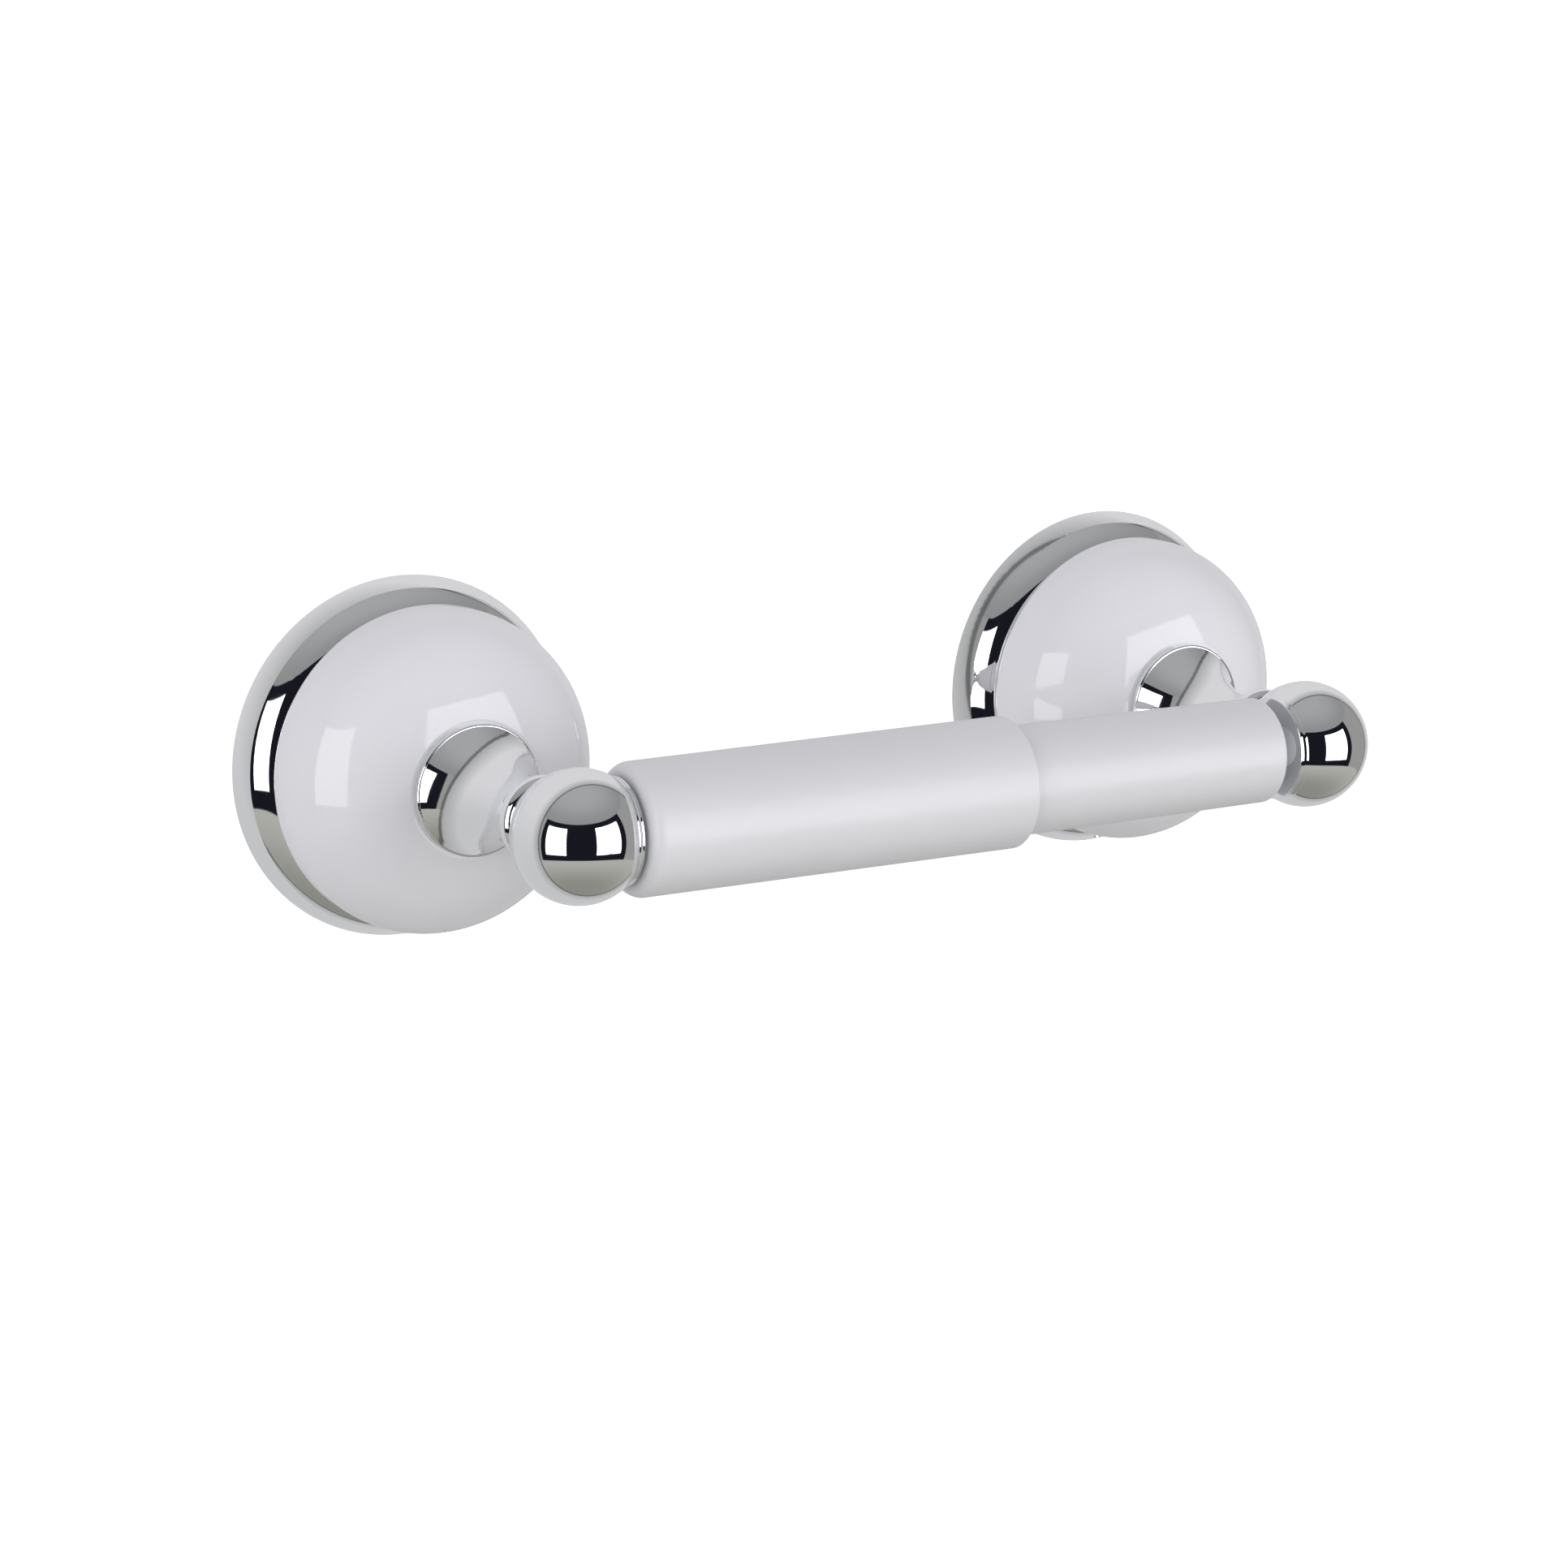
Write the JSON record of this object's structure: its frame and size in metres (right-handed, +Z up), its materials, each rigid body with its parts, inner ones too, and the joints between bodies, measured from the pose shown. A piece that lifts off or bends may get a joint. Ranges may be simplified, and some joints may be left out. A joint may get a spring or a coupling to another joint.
{
  "type": "toilet paper holder",
  "caption": "Wall-mounted toilet paper holder: a telescoping spring roller held between two chrome posts with ball ends on round porcelain and chrome bases.",
  "frame": {"origin": "on the wall plane, midway between the two posts, at the height of the post axes", "axes": "+Z up, +X to the right as seen from the room, +Y into the wall; the holder stands out along -Y"},
  "size_m": [0.2392, 0.089, 0.0732],
  "materials": {
    "flange_chrome": "polished",
    "post_chrome": "polished",
    "ring_chrome": "polished",
    "ball_chrome": "polished",
    "porcelain": "gloss glaze",
    "roller_plastic": "satin",
    "gasket_rubber": "matte",
    "bracket_zinc": "zinc plated",
    "plate_zinc": "as cast",
    "screw_steel": "zinc plated",
    "washer_steel": "zinc plated",
    "spring_steel": "drawn wire"
  },
  "bodies": {
    "root": {"wall_bracket_left": "bracket_zinc", "wall_bracket_right": "bracket_zinc", "backing_plate_left": "plate_zinc", "backing_plate_right": "plate_zinc", "set_screw_left": "screw_steel", "set_screw_right": "screw_steel", "flange_left": "flange_chrome", "flange_right": "flange_chrome", "gasket_left": "gasket_rubber", "gasket_right": "gasket_rubber", "porcelain_dome_left": "porcelain", "porcelain_dome_right": "porcelain", "post_left": "post_chrome", "post_right": "post_chrome", "neck_ring_left": "ring_chrome", "neck_ring_right": "ring_chrome", "ball_socket_left": "ball_chrome", "ball_socket_right": "ball_chrome", "clamp_screw_left": "screw_steel", "clamp_screw_right": "screw_steel", "lock_washer_left": "washer_steel", "lock_washer_right": "washer_steel"},
    "roller_outer": {"outer_tube": "roller_plastic", "outer_end_cap": "roller_plastic", "spring": "spring_steel"},
    "roller_inner": {"inner_tube": "roller_plastic", "inner_end_cap": "roller_plastic"}
  },
  "joints": [
    {"name": "roller_spin", "type": "hinge", "parent": "root", "child": "roller_outer", "pos_m": [0, -0.076, 0], "axis": [1, 0, 0], "continuous": true},
    {"name": "roller_compress", "type": "slide", "parent": "roller_outer", "child": "roller_inner", "axis": [-1, 0, 0], "range_m": [0, 0.024], "stiffness_N_per_m": 200, "springref_m": -0.03, "deforming": ["spring"]}
  ]
}
